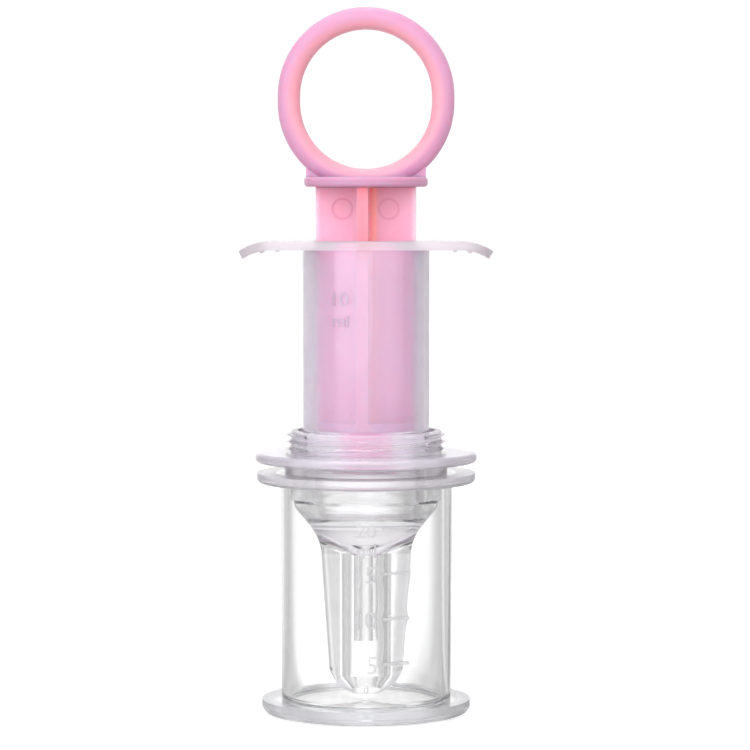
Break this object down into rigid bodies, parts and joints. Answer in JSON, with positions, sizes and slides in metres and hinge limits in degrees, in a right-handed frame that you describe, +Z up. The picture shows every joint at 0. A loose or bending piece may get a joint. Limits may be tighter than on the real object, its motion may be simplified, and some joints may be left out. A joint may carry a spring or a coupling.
{
  "type": "oral medicine syringe",
  "caption": "Baby medicine dispenser: ring-handled plunger in a winged barrel, feeding teat on a screw collar, standing in its measuring cup.",
  "frame": {"origin": "centre of the measuring cup's underside, on the axis that all the pieces share", "axes": "+Z up along the syringe's axis, +X along the finger wings, -Y towards the side with the volume marks"},
  "size_m": [0.046, 0.0404, 0.1282],
  "materials": {
    "pink_plastic": "glossy moulded polypropylene, slightly translucent",
    "milky_silicone": "smooth milky silicone rubber",
    "lavender_clear_plastic": "clear lavender-tinted polypropylene, polished",
    "collar_clear_plastic": "clear faintly lavender plastic, polished",
    "clear_silicone": "soft clear silicone rubber, glossy",
    "clear_plastic": "clear colourless polypropylene, polished"
  },
  "bodies": {
    "cup": {"measuring_cup": "clear_plastic"},
    "teat": {"teat": "clear_silicone"},
    "collar": {"collar": "collar_clear_plastic"},
    "barrel": {"barrel": "lavender_clear_plastic"},
    "piston": {"piston_seal": "milky_silicone"},
    "plunger": {"plunger": "pink_plastic"}
  },
  "joints": [
    {"name": "lift", "type": "slide", "parent": "cup", "child": "teat", "axis": [0, 0, 1], "range_m": [0, 0.045]},
    {"name": "collar_turn", "type": "hinge", "parent": "teat", "child": "collar", "pos_m": [0, 0, 0.045], "axis": [0, 0, -1], "range_deg": [0, 720]},
    {"name": "barrel_rise", "type": "slide", "parent": "teat", "child": "barrel", "axis": [0, 0, 1], "range_m": [0, 0.00401]},
    {"name": "plunger_slide", "type": "slide", "parent": "barrel", "child": "piston", "axis": [0, 0, 1], "range_m": [-0.0075, 0.03]},
    {"name": "plunger_turn", "type": "hinge", "parent": "piston", "child": "plunger", "pos_m": [0, 0, 0.048], "axis": [0, 0, 1], "continuous": true}
  ],
  "couplings": [
    {"joint": "barrel_rise", "follows": "collar_turn", "m_per_rad": 0.00031831}
  ]
}
